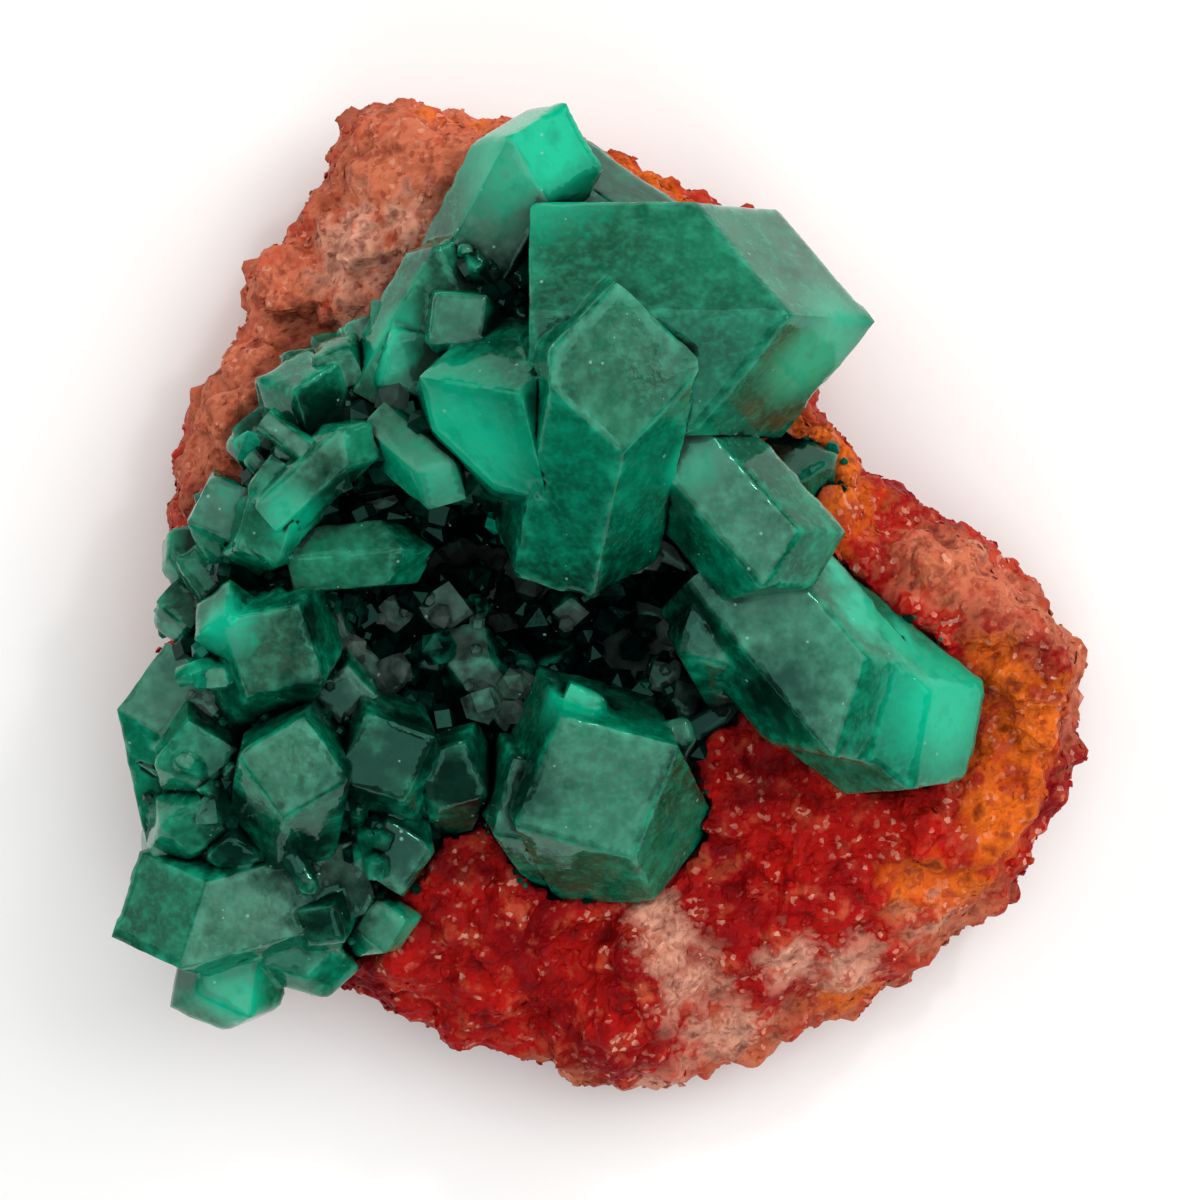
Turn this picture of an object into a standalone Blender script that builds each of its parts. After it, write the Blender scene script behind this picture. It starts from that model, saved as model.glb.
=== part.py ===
"""Dioptase on matrix: a loose, hand-sized mineral specimen.

Emerald-green dioptase prisms grow out of one side of a block of iron-red host rock. The rock lies
on a flat sawn base and the crystals stand up from it round an open hollow. +Z is up. The origin is
on the base, under the middle of the specimen's bounding box.

Lengths below are in millimetres and angles in degrees, until the meshes are made in metres.
"""

import math
import random
from typing import NamedTuple

import bmesh
import bpy
from mathutils import Matrix, Vector, noise

MM = 0.001
GAP = 0.3  # between the rock and each crystal that is seated in it
WELD = 0.02  # corners closer than this are one corner
FLATNESS = math.radians(0.5)  # faces that turn less than this are one face
BLANK = 6  # size of the block that a crystal is cleaved from, against the crystal's length

# Dioptase is a six-sided prism closed by three rhombohedral faces, this far off its long axis.
CAP_ANGLE = 52.0


class Crystal(NamedTuple):
    """One six-sided prism with a three-faced cap."""

    tip: tuple  # where the three cap faces meet
    heading: float  # compass direction that the tip points in, from +X towards +Y
    lift: float  # how far the tip points above level
    roll: float  # turn about the axis: 0 puts a cap face uppermost, 60 a prism edge
    radius: float  # axis to prism edge
    length: float  # tip to root
    spread: tuple = (1, 1, 1, 1, 1, 1)  # how far out each prism face stands, against the others
    cap: float = CAP_ANGLE
    trims: tuple = ()  # extra faces: (turn about the axis, tilt from the axis, reach from the tip)


# The crystals round the hollow: the tall ones at the back, the two on the right that lean over the
# rock, and the bank of shorter ones down the left side to the corner.
CLUSTER = {
    "long": Crystal((13.6, 13.9, 19.5), 0, 0, 60, 6.5, 17, cap=54, trims=((100, 45, 0.9),)),
    "long_back": Crystal((6.4, 13.3, 16.0), -34, 3, 30, 4.2, 12),
    "square_faced": Crystal((0.8, 15.4, 27.0), 78, 40, 22, 5.0, 16, spread=(1, 0.93, 1, 1, 0.78, 1)),
    "jade": Crystal((-3.8, 10.0, 26.5), 46, 84, 0, 4.9, 14, trims=((0, 90, 3.7),)),
    "crest": Crystal((-1.7, 24.6, 20.5), 61, 22, 30, 3.1, 13),
    "crest_flank": Crystal((-6.1, 18.7, 19.0), 60, 15, 30, 2.4, 10),
    "shoulder": Crystal((10.6, 0.7, 19.0), -49, 8, 90, 3.8, 12, spread=(1, 1, 0.78, 0.78, 1, 1), cap=33),
    "knee": Crystal((5.0, 0.8, 18.0), 120, 50, 0, 3.0, 7),
    "slab": Crystal((15.2, -8.6, 15.5), -50, 3, 90, 4.3, 14),
    "outlier": Crystal((18.6, -9.0, 13.5), -38, 0, 90, 4.4, 14, cap=45),
    "mantle": Crystal((-10.2, 13.5, 20.0), 120, 55, 0, 2.5, 10),
    "rim_top": Crystal((-12.8, 13.9, 17.0), 140, 35, 20, 2.0, 8),
    "notch": Crystal((-8.1, 15.2, 22.0), 130, 42, 0, 2.1, 9),
    "swirl": Crystal((-15.2, 10.5, 20.0), 150, 75, 10, 2.5, 10),
    "blade": Crystal((-9.7, 8.7, 21.0), -45, 10, 30, 0.8, 4),
    "wedge": Crystal((-11.3, 8.8, 20.5), 42, 15, 30, 1.5, 7),
    "pale_step": Crystal((-16.3, 7.2, 19.5), 100, 40, 0, 1.7, 7),
    "strip": Crystal((-12.3, 5.6, 20.0), -38, 5, 30, 0.7, 5.5),
    "under_jade": Crystal((-6.7, 5.1, 20.5), -40, 20, 20, 1.6, 6),
    "turquoise": Crystal((-15.3, 4.0, 20.0), 20, 70, 0, 2.2, 9),
    "triangle": Crystal((-8.4, 2.6, 18.0), 5, 10, 60, 1.8, 7),
    "left_face": Crystal((-19.4, 6.3, 17.0), 110, 40, 0, 2.3, 9),
    "left_rim": Crystal((-21.8, 3.7, 13.5), 120, 20, 30, 1.4, 8),
    "mint": Crystal((-18.5, -0.7, 19.5), 90, 78, 0, 1.9, 7),
    "block": Crystal((-15.0, -0.3, 20.0), 60, 58, 0, 3.3, 11),
    "west": Crystal((-21.9, -2.2, 14.0), 100, 30, 0, 3.5, 11),
    "west_low": Crystal((-22.9, -10.2, 12.5), 170, 20, 30, 1.8, 7),
    "hex": Crystal((-14.8, -5.8, 19.0), 78, 52, 0, 3.2, 9),
    "corner": Crystal((-24.8, -17.1, 12.0), 196, 12, 20, 3.8, 13),
    "corner_foot": Crystal((-19.4, -22.1, 9.5), 262, 5, 30, 2.8, 9, cap=32),
    "corner_side": Crystal((-12.3, -18.9, 10.0), -15, 5, 30, 1.9, 9),
    "veil": Crystal((-11.7, -5.7, 17.5), 112, 60, 0, 3.1, 10),
    "veil_right": Crystal((-6.8, -7.2, 15.5), 65, 58, 0, 2.4, 8),
    "veil_low": Crystal((-10.1, -14.9, 14.0), -80, 35, 0, 2.3, 9),
    "slate": Crystal((-13.6, -15.5, 14.0), 60, 68, 0, 1.6, 6),
    "teal_low": Crystal((-9.9, -16.3, 13.0), 10, 55, 0, 1.6, 6),
    "bar": Crystal((-14.3, -15.0, 14.6), -55, 10, 30, 0.6, 4),
    "rim_a": Crystal((-15.9, 12.5, 16.0), 135, 35, 10, 1.8, 8),
    "rim_b": Crystal((-17.3, 11.1, 16.5), 150, 30, 0, 2.0, 8),
    "rim_c": Crystal((-18.5, 8.6, 16.5), 155, 40, 30, 1.9, 8),
    "rim_d": Crystal((-20.4, 5.3, 15.5), 150, 30, 0, 1.8, 8),
    "rim_e": Crystal((-21.4, 2.0, 15.0), 165, 35, 10, 2.0, 8),
    "rim_f": Crystal((-22.4, -0.1, 14.0), 160, 40, 40, 1.9, 8),
    "rim_g": Crystal((-24.0, -5.1, 13.0), 180, 35, 0, 2.5, 9),
    "rim_h": Crystal((-23.6, -8.2, 13.0), 185, 30, 20, 2.2, 9),
    "rim_i": Crystal((-22.9, -12.7, 12.5), 170, 40, 0, 2.0, 8),
    "rim_upper": Crystal((-11.4, 15.0, 17.5), 130, 30, 10, 1.9, 8),
    "rim_crest": Crystal((-9.7, 16.9, 18.0), 140, 20, 30, 1.6, 8),
    "mid_a": Crystal((-12.5, 12.6, 19.0), 60, 60, 10, 1.6, 7),
    "mid_b": Crystal((-18.0, 2.6, 18.5), 200, 60, 0, 1.8, 7),
    "mid_c": Crystal((-20.7, -6.1, 16.5), 100, 60, 0, 2.4, 8),
    "mid_d": Crystal((-20.2, -10.1, 15.5), 60, 65, 30, 2.0, 8),
    "mid_e": Crystal((-18.5, -12.0, 15.0), 90, 76, 0, 1.6, 6),
    "nook": Crystal((-12.7, -3.2, 16.2), 75, 52, 10, 1.9, 7),
}

# The group in front, which stands on the rock by itself.
FRONT = {
    "front_main": Crystal((-1.9, -5.7, 19.0), 116, 58, 0, 5.2, 12),
    "front_side": Crystal((-4.3, -8.0, 16.5), 122, 55, 0, 3.3, 10),
    "front_top": Crystal((-1.4, -4.2, 17.0), 110, 40, 0, 1.5, 7),
    "front_tiny": Crystal((4.5, -5.9, 15.5), 60, 30, 0, 1.0, 5),
}

# The larger crystals down inside the hollow.
CAVITY = {
    "under_block": Crystal((-10.5, 0.4, 11.0), 90, 50, 0, 1.3, 5),
    "ledge_prism": Crystal((-7.7, 0.9, 12.0), 80, 45, 0, 1.7, 6),
    "needle": Crystal((-9.8, -2.8, 11.5), 170, 10, 30, 0.9, 5),
    "sunken": Crystal((-8.0, -1.5, 13.0), 130, 20, 30, 1.8, 8),
    "jade_foot": Crystal((-4.1, 3.6, 13.5), 80, 60, 0, 1.5, 6),
    "wall_point": Crystal((-1.5, 0.2, 11.0), 90, 60, 0, 1.1, 4),
    "front_neighbour": Crystal((2.8, -3.1, 12.0), 120, 50, 0, 1.2, 5),
}

# Stout prisms, mostly buried, that the others have grown over. They join the crust from below.
BED = {
    "bed_top": Crystal((-3.0, 17.0, 17.5), 90, 82, 0, 5.0, 9),
    "bed_middle": Crystal((2.0, 11.0, 18.5), 60, 80, 20, 6.5, 11),
    "bed_right": Crystal((8.0, 5.0, 17.0), 20, 84, 10, 5.0, 9),
    "bed_low_right": Crystal((11.5, -3.0, 15.5), 30, 82, 40, 4.2, 7),
    "bed_left_top": Crystal((-11.5, 10.5, 17.0), 120, 80, 15, 4.8, 8),
    "bed_left": Crystal((-16.5, 2.5, 15.5), 150, 80, 0, 4.6, 7),
    "bed_left_low": Crystal((-17.5, -7.0, 14.5), 170, 80, 25, 4.6, 7),
    "bed_corner": Crystal((-17.0, -15.0, 12.5), 200, 80, 10, 4.6, 6),
    "bed_front": Crystal((-11.6, -11.4, 12.5), 100, 82, 35, 3.2, 6),
}


class Chunk(NamedTuple):
    """One convex lump of the host rock, from the corners of its rim and of its upper side."""

    rim: tuple
    top: tuple


CHUNKS = (
    Chunk(  # the body under the crystals
        rim=((10.0, 9.5, 7), (15.0, 3.5, 8), (21.0, 0.0, 9), (24.0, -3.0, 8), (24.3, -8.0, 7),
             (21.4, -14.8, 7), (16.8, -19.4, 6), (8.0, -23.2, 5), (1.0, -24.8, 5), (-8.5, -22.0, 5),
             (-18.5, -18.0, 5), (-21.8, -10.0, 6), (-22.0, 2.0, 7), (-20.5, 8.5, 8), (-12.0, 15.0, 9),
             (0.0, 20.0, 9)),
        top=((-14.0, 9.0, 15), (0.0, 14.0, 15), (9.0, 6.0, 13), (17.0, -2.0, 13), (16.0, -12.0, 11),
             (6.0, -16.0, 11), (-6.0, -16.0, 11), (-16.0, -12.0, 11), (-18.0, 0.0, 13)),
    ),
    Chunk(  # the prong behind the crest crystal
        rim=((-5.3, 24.6, 9), (-7.0, 25.4, 9), (-10.4, 25.9, 8), (-12.4, 25.5, 8), (-13.2, 24.2, 8),
             (-14.4, 21.0, 8), (-16.0, 17.6, 8), (-14.0, 12.0, 9), (-2.0, 15.0, 9), (1.5, 22.6, 9),
             (-0.5, 23.4, 9)),
        top=((-7.0, 23.6, 14), (-10.8, 24.4, 12.5), (-12.6, 20.5, 12.5), (-13.5, 15.0, 13), (-4, 14, 15),
             (0.0, 21.0, 13)),
    ),
    Chunk(  # the back, under the long crystal
        rim=((2.6, 22.3, 7), (4.4, 20.0, 7), (9.0, 18.6, 6), (12.0, 14.5, 6), (11.4, 9.0, 7),
             (0.0, 8.0, 8), (-6.0, 20.0, 8), (0.0, 23.2, 7)),
        top=((1.6, 21.4, 13), (6.0, 17.8, 13), (9.6, 13.6, 13), (8.0, 9.0, 13.5), (-4.0, 18.0, 14)),
    ),
    Chunk(  # a knob at the foot of the prong
        rim=((-15.5, 18.0, 6), (-17.8, 17.2, 6), (-18.3, 15.6, 6), (-17.8, 13.6, 6), (-12.0, 13.0, 7)),
        top=((-16.6, 16.6, 10), (-17.0, 14.9, 10.5), (-13.0, 14.5, 12.5), (-14.0, 16.5, 12)),
    ),
    Chunk(  # the narrow ridge down the left side
        rim=((-17.5, 13.8, 6), (-19.0, 13.2, 6), (-21.0, 10.2, 6), (-21.7, 7.3, 6), (-22.4, 3.4, 6),
             (-22.0, -3.0, 6), (-16.0, 0.0, 7), (-12.0, 12.0, 8)),
        top=((-17.8, 12.8, 12.5), (-19.6, 10.0, 12), (-20.6, 6.5, 11.5), (-21.0, 3.0, 11), (-16, 9, 14)),
    ),
    Chunk(  # the bright knob under the long crystal
        rim=((9.6, 10.5, 6), (11.8, 9.0, 6), (12.6, 6.8, 6), (13.4, 4.6, 6), (9.0, 1.0, 7), (6.0, 9.0, 7)),
        top=((9.6, 8.8, 13.2), (11.4, 7.6, 12.4), (12.2, 5.4, 11.5), (9.0, 4.0, 13)),
    ),
    Chunk(  # the ledge along the right side
        rim=((13.0, 5.0, 7), (15.8, 4.6, 7), (19.0, 3.4, 8), (20.8, 1.4, 8), (23.0, 0.2, 8),
             (25.0, -2.6, 7), (24.4, -6.0, 8), (16.0, -7.0, 9), (10.0, 2.0, 9)),
        top=((14.4, 3.2, 12.5), (18.2, 2.2, 14), (21.6, -0.6, 14), (23.6, -3.0, 13), (22.4, -5.0, 12.5),
             (15.0, -2.0, 12.5)),
    ),
    Chunk(  # the rounded right flank
        rim=((24.6, -4.0, 5), (25.2, -7.6, 5), (23.8, -11.0, 5), (21.6, -15.2, 5), (16.0, -17.0, 6),
             (15.0, -6.0, 7)),
        top=((22.8, -6.4, 11.5), (22.4, -10.2, 11), (19.6, -14.2, 10.5), (15.0, -12.0, 12)),
    ),
    Chunk(  # the pale shelf at the lower right
        rim=((21.0, -16.4, 4), (17.2, -19.9, 4), (13.0, -21.8, 4), (8.3, -23.9, 4), (4.0, -25.4, 4),
             (2.0, -18.0, 6), (14.0, -13.0, 7)),
        top=((18.6, -15.8, 10), (13.6, -18.8, 10), (8.0, -21.4, 9), (5.0, -17.0, 11), (12.0, -14.0, 12)),
    ),
    Chunk(  # the nose at the bottom
        rim=((5.6, -25.0, 4), (2.1, -26.3, 4), (-0.4, -26.0, 4), (-2.3, -24.6, 4), (-5.0, -23.8, 4),
             (-3.0, -16.0, 6), (5.0, -16.0, 6)),
        top=((3.6, -23.6, 9), (0.6, -24.0, 9.5), (-2.4, -22.6, 8.5), (1.5, -17.0, 12.5), (3.6, -19.6, 12)),
    ),
    Chunk(  # the low apron at the bottom left
        rim=((-4.0, -24.6, 4), (-5.8, -23.4, 4), (-8.8, -22.6, 4), (-10.7, -21.4, 4), (-13.3, -20.8, 4),
             (-19.0, -18.4, 4), (-14.0, -12.0, 6), (-2.0, -14.0, 7)),
        top=((-5.4, -21.8, 8.5), (-9.0, -20.4, 8.5), (-13.2, -18.8, 8.5), (-9.0, -14.0, 11), (-4, -16, 12)),
    ),
)

# Broad faces that the stone broke along: (heading of the face, how far it looks down, its distance
# from the middle of the base).
BREAKS = (
    (300, 38, 21.9),
    (255, 30, 22.0),
    (350, 34, 22.3),
    (35, 30, 16.3),
    (95, 36, 23.2),
    (140, 28, 23.3),
    (190, 30, 19.6),
    (222, 26, 23.0),
)
FOOT_SHRINK = 0.9  # the sides of each chunk lean in towards the base by this much
ROCK_VOXEL = 0.8  # size of the rock's facets before they are thinned out
ROCK_FACES = 3700
LUMP_SIZE = 5.0  # spacing of the rock's bulges, and how far they stand out
LUMP_RISE = 0.9
CHIP_SIZE = 3.0  # spacing of the chips and steps that it broke along
CHIP_RISE = 1.1
CHIP_LEVEL = 0.25  # the average of the chips' pattern, which is taken off to keep the stone's size
CHIP_SHIFT = Vector((31, 17, 5))  # starts the chips' pattern away from the bulges' one
BURIAL = 2.0  # how far the chunks run below the base before it is cut flat

# The hollow between the crystals, as overlapping bowls: (centre, half-sizes).
BOWLS = (
    ((-6.0, 0.5, 14.0), (9.5, 7.0, 9.0)),
    ((2.2, -2.2, 14.0), (6.8, 6.2, 8.0)),
    ((-7.0, -6.7, 13.0), (5.6, 5.5, 6.0)),
)
BOWL_RIPPLE = 0.08  # unevenness of the bowls, as a share of their size
RIPPLES = 2  # waves of that unevenness across half a bowl
LINING = 1.2  # thickness of the crust that lines the hollow
LINING_TOP = 12.5  # where that crust ends, against the roots of the tall crystals
CAVITY_SPROUTS = 17  # small crystals on that crust, beside the ones in CAVITY
SPROUT_RADIUS = (0.5, 1.1)


class Druse(NamedTuple):
    """A patch of small crystals between the tall ones."""

    centre: tuple
    reach: float  # radius of the patch
    count: int
    radius: float  # of its largest crystal


DRUSES = (
    Druse((-4.9, 15.2, 20.2), 3.4, 12, 0.8),
    Druse((-15.0, 6.5, 19.0), 4.0, 7, 1.0),
    Druse((-17.5, -2.5, 18.0), 4.0, 7, 1.0),
    Druse((-18.5, -9.5, 16.0), 3.5, 6, 1.0),
    Druse((-12.0, -12.0, 15.0), 3.5, 6, 0.9),
)
DRUSE_SPREAD = 12  # degrees that a small crystal leans out for each millimetre from the middle
DRUSE_LEAN = 25  # and the most that it leans at random
SLENDER = 5  # length of a small crystal against its radius
SEED = 7


def small_crystal(chance, tip, heading, lift, radius):
    """One crystal of a druse, with its own turn and its own uneven sides."""
    spread = tuple(chance.uniform(0.8, 1.2) for _ in range(6))
    return Crystal(tip, heading, lift, chance.uniform(0, 60), radius, SLENDER * radius, spread)


def druse_table(druse, chance):
    """Small crystals that lean outwards from the middle of their patch."""
    table = {}
    for index in range(druse.count):
        turn = chance.uniform(0, 360)
        away = druse.reach * math.sqrt(chance.uniform(0, 1))
        x = druse.centre[0] + away * math.cos(math.radians(turn))
        y = druse.centre[1] + away * math.sin(math.radians(turn))
        z = druse.centre[2] + chance.uniform(-0.8, 0.5)
        lift = 88 - DRUSE_SPREAD * away - chance.uniform(0, DRUSE_LEAN)
        radius = druse.radius * chance.uniform(0.5, 1)
        table[index] = small_crystal(chance, (x, y, z), turn, lift, radius)
    return table


def cavity_sprouts(chance):
    """Small crystals that point in from the walls of the hollow."""
    table = {}
    for index in range(CAVITY_SPROUTS):
        centre, half_sizes = BOWLS[index % len(BOWLS)]
        turn = chance.uniform(0, 2 * math.pi)
        depth = chance.uniform(0.35, 1.5)
        way = Vector((math.cos(turn) * math.cos(depth), math.sin(turn) * math.cos(depth), -math.sin(depth)))
        wall = Vector(centre) + Vector(way[axis] * half_sizes[axis] for axis in range(3))
        inward = -Vector(way[axis] / half_sizes[axis] for axis in range(3)).normalized()
        radius = chance.uniform(*SPROUT_RADIUS)
        tip = wall + inward * (LINING + GAP + radius * chance.uniform(1.0, 2.4))
        heading = math.degrees(math.atan2(inward.y, inward.x)) + chance.uniform(-25, 25)
        lift = math.degrees(math.asin(inward.z)) + chance.uniform(-15, 15)
        sprout = small_crystal(chance, tuple(tip), heading, lift, radius)
        table[index] = sprout._replace(length=(tip - wall).length - GAP)
    return table


def axis_frame(crystal):
    """(axis, up, side): the way the crystal points, and the two directions across it."""
    heading = math.radians(crystal.heading)
    lift = math.radians(crystal.lift)
    level = Vector((math.cos(heading), math.sin(heading), 0))
    axis = level * math.cos(lift) + Vector((0, 0, math.sin(lift)))
    up = Vector((0, 0, math.cos(lift))) - level * math.sin(lift)
    turn = Matrix.Rotation(math.radians(crystal.roll), 3, axis)
    up = turn @ up
    return axis, up, axis.cross(up)


def crystal_planes(crystal, grow=0.0):
    """Each flat face as (outward normal, distance from the tip in mm), grown outwards by grow."""
    axis, up, side = axis_frame(crystal)
    apothem = crystal.radius * math.cos(math.radians(30))
    planes = []
    for step in range(6):
        angle = math.radians(30 + 60 * step)
        normal = up * math.cos(angle) + side * math.sin(angle)
        planes.append((normal, apothem * crystal.spread[step] + grow))
    cap = math.radians(crystal.cap)
    for step in range(3):
        angle = math.radians(120 * step)
        outward = up * math.cos(angle) + side * math.sin(angle)
        planes.append((axis * math.cos(cap) + outward * math.sin(cap), grow))
    for turn, tilt, reach in crystal.trims:
        across = up * math.cos(math.radians(turn)) + side * math.sin(math.radians(turn))
        normal = axis * math.cos(math.radians(tilt)) + across * math.sin(math.radians(tilt))
        planes.append((normal, reach + grow))
    planes.append((-axis, crystal.length + grow))
    return planes


def cleave(mesh, planes, centre):
    """Cuts a block down to the space behind every plane."""
    for normal, distance in planes:
        geometry = mesh.verts[:] + mesh.edges[:] + mesh.faces[:]
        cut = bmesh.ops.bisect_plane(
            mesh,
            geom=geometry,
            plane_co=centre + normal * distance,
            plane_no=normal,
            clear_outer=True,
        )
        rim = [item for item in cut["geom_cut"] if isinstance(item, bmesh.types.BMEdge)]
        if rim:
            bmesh.ops.edgeloop_fill(mesh, edges=rim)


def finish_mesh(name, mesh):
    """Turns a bmesh in millimetres into mesh data in metres."""
    bmesh.ops.recalc_face_normals(mesh, faces=mesh.faces)
    bmesh.ops.scale(mesh, verts=mesh.verts, vec=(MM, MM, MM))
    data = bpy.data.meshes.new(name)
    mesh.to_mesh(data)
    mesh.free()
    return data


def wrap_hull(mesh):
    """Wraps the mesh's corners in one closed convex skin of whole flat faces."""
    bmesh.ops.remove_doubles(mesh, verts=mesh.verts, dist=WELD)
    bmesh.ops.delete(mesh, geom=mesh.edges[:], context="EDGES_FACES")
    hull = bmesh.ops.convex_hull(mesh, input=mesh.verts)
    inside = [item for item in hull["geom_interior"] if isinstance(item, bmesh.types.BMVert)]
    bmesh.ops.delete(mesh, geom=inside, context="VERTS")
    bmesh.ops.dissolve_limit(mesh, angle_limit=FLATNESS, verts=mesh.verts, edges=mesh.edges)


def crystal_mesh(name, crystal, grow=0.0):
    mesh = bmesh.new()
    bmesh.ops.create_cube(mesh, size=BLANK * crystal.length)
    tip = Vector(crystal.tip)
    bmesh.ops.translate(mesh, verts=mesh.verts, vec=tip)
    cleave(mesh, crystal_planes(crystal, grow), tip)
    wrap_hull(mesh)
    return finish_mesh(name, mesh)


def add_object(name, data, collection):
    obj = bpy.data.objects.new(name, data)
    collection.objects.link(obj)
    return obj


def new_collection(name):
    collection = bpy.data.collections.new(name)
    bpy.context.scene.collection.children.link(collection)
    return collection


def hide_guide(obj):
    """Marks a shape that only cuts or builds another one."""
    obj.hide_render = True
    obj.display_type = "WIRE"


def add_boolean(obj, operation, collection):
    """Cuts the shapes of a collection from an object, or joins them to it."""
    modifier = obj.modifiers.new(operation.title(), "BOOLEAN")
    modifier.solver = "EXACT"
    modifier.operation = operation
    modifier.operand_type = "COLLECTION"
    modifier.collection = collection


def crystal_group(name, table, grow=0.0):
    """A collection with every crystal of a table, as shapes that build another one."""
    collection = new_collection(name)
    for key, crystal in table.items():
        guide = add_object(f"{name}_{key}", crystal_mesh(f"{name}_{key}", crystal, grow), collection)
        hide_guide(guide)
    return collection


def intergrown(name, table, material):
    """One solid from crystals that have grown into each other."""
    keys = list(table)
    base = add_object(name, crystal_mesh(name, table[keys[0]]), bpy.context.scene.collection)
    rest = crystal_group(f"{name}_parts", {key: table[key] for key in keys[1:]})
    add_boolean(base, "UNION", rest)
    base.data.materials.append(material)
    return base


def hull_mesh(name, points):
    mesh = bmesh.new()
    for point in points:
        mesh.verts.new(point)
    wrap_hull(mesh)
    return finish_mesh(name, mesh)


def chunk_points(chunk):
    """The corners of a chunk, with a foot that is a little smaller than its rim."""
    middle_x = sum(point[0] for point in chunk.rim) / len(chunk.rim)
    middle_y = sum(point[1] for point in chunk.rim) / len(chunk.rim)
    foot = []
    for x, y, _ in chunk.rim:
        foot_x = middle_x + (x - middle_x) * FOOT_SHRINK
        foot_y = middle_y + (y - middle_y) * FOOT_SHRINK
        foot.append((foot_x, foot_y, -BURIAL))
    return foot + list(chunk.rim) + list(chunk.top)


def evaluated_copy(obj):
    """The object's mesh with its modifiers applied."""
    graph = bpy.context.evaluated_depsgraph_get()
    return bpy.data.meshes.new_from_object(obj.evaluated_get(graph), depsgraph=graph)


def roughen(mesh):
    """Moves the rock's surface in and out, in broad bulges with sharp-edged chips on them."""
    for vert in mesh.verts:
        place = vert.co / MM
        lumps = noise.noise(place / LUMP_SIZE)
        chips = abs(noise.noise(place / CHIP_SIZE + CHIP_SHIFT)) - CHIP_LEVEL
        vert.co += vert.normal * MM * (LUMP_RISE * lumps + CHIP_RISE * chips)


def break_planes():
    """The broad breaks as (outward normal, distance from the origin in metres)."""
    planes = []
    for heading, down, reach in BREAKS:
        turn = math.radians(heading)
        tilt = math.radians(down)
        outward = Vector((math.cos(turn) * math.cos(tilt), math.sin(turn) * math.cos(tilt), -math.sin(tilt)))
        planes.append((outward, reach * math.cos(tilt) * MM))
    return planes


def apply_modifiers(obj):
    """The object's evaluated mesh, for editing, in place of its modifiers."""
    mesh = bmesh.new()
    mesh.from_mesh(evaluated_copy(obj))
    obj.modifiers.clear()
    return mesh


def write_back(mesh, obj):
    mesh.to_mesh(obj.data)
    mesh.free()


def joined_chunks(name, collection):
    body = add_object(name, hull_mesh(name, chunk_points(CHUNKS[0])), collection)
    others = new_collection(f"{name}_chunks")
    for index, chunk in enumerate(CHUNKS[1:]):
        label = f"{name}_chunk_{index}"
        hide_guide(add_object(label, hull_mesh(label, chunk_points(chunk)), others))
    add_boolean(body, "UNION", others)
    return body


def rough_rock(name, collection):
    """The chunks run together into one stone, with an uneven surface and a flat base."""
    body = joined_chunks(name, collection)
    mesh = apply_modifiers(body)
    cleave(mesh, break_planes(), Vector((0, 0, 0)))
    write_back(mesh, body)
    even = body.modifiers.new("Even facets", "REMESH")
    even.mode = "VOXEL"
    even.voxel_size = ROCK_VOXEL * MM
    mesh = apply_modifiers(body)
    roughen(mesh)
    write_back(mesh, body)
    thin = body.modifiers.new("Fewer facets", "DECIMATE")
    thin.ratio = min(1.0, ROCK_FACES / (2 * len(body.data.polygons)))
    mesh = apply_modifiers(body)
    cleave(mesh, [(Vector((0, 0, -1)), 0)], Vector((0, 0, 0)))
    bmesh.ops.triangulate(mesh, faces=[face for face in mesh.faces if len(face.verts) > 4])
    write_back(mesh, body)
    return body


def bowl_mesh(name, centre, half_sizes, grow):
    mesh = bmesh.new()
    bmesh.ops.create_icosphere(mesh, subdivisions=2, radius=1)
    for vert in mesh.verts:
        swell = 1 + BOWL_RIPPLE * noise.noise(vert.co * RIPPLES + Vector(centre))
        for axis in range(3):
            vert.co[axis] = centre[axis] + vert.co[axis] * (half_sizes[axis] * swell + grow)
    return finish_mesh(name, mesh)


def bowl_group(name, grow):
    collection = new_collection(name)
    for index, (centre, half_sizes) in enumerate(BOWLS):
        label = f"{name}_{index}"
        hide_guide(add_object(label, bowl_mesh(label, centre, half_sizes, grow), collection))
    return collection


def loose_bodies(mesh):
    """The corners of each body of a mesh that touches no other, the smallest body first."""
    waiting = set(mesh.verts)
    bodies = []
    while waiting:
        body = {waiting.pop()}
        border = list(body)
        while border:
            vert = border.pop()
            near = {link.other_vert(vert) for link in vert.link_edges} - body
            body |= near
            border.extend(near)
        waiting -= body
        bodies.append(body)
    return sorted(bodies, key=len)


def keep_main_body(obj):
    """Applies the modifiers and drops the crumbs that the cuts leave loose."""
    mesh = apply_modifiers(obj)
    for body in loose_bodies(mesh)[:-1]:
        bmesh.ops.delete(mesh, geom=list(body), context="VERTS")
    write_back(mesh, obj)


def joined_bowls(name, grow):
    """The bowls as one solid."""
    bowls = add_object(name, bowl_mesh(name, *BOWLS[0], grow), bpy.context.scene.collection)
    add_boolean(bowls, "UNION", bowl_group(f"{name}_parts", grow))
    write_back(apply_modifiers(bowls), bowls)
    return bowls


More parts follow.
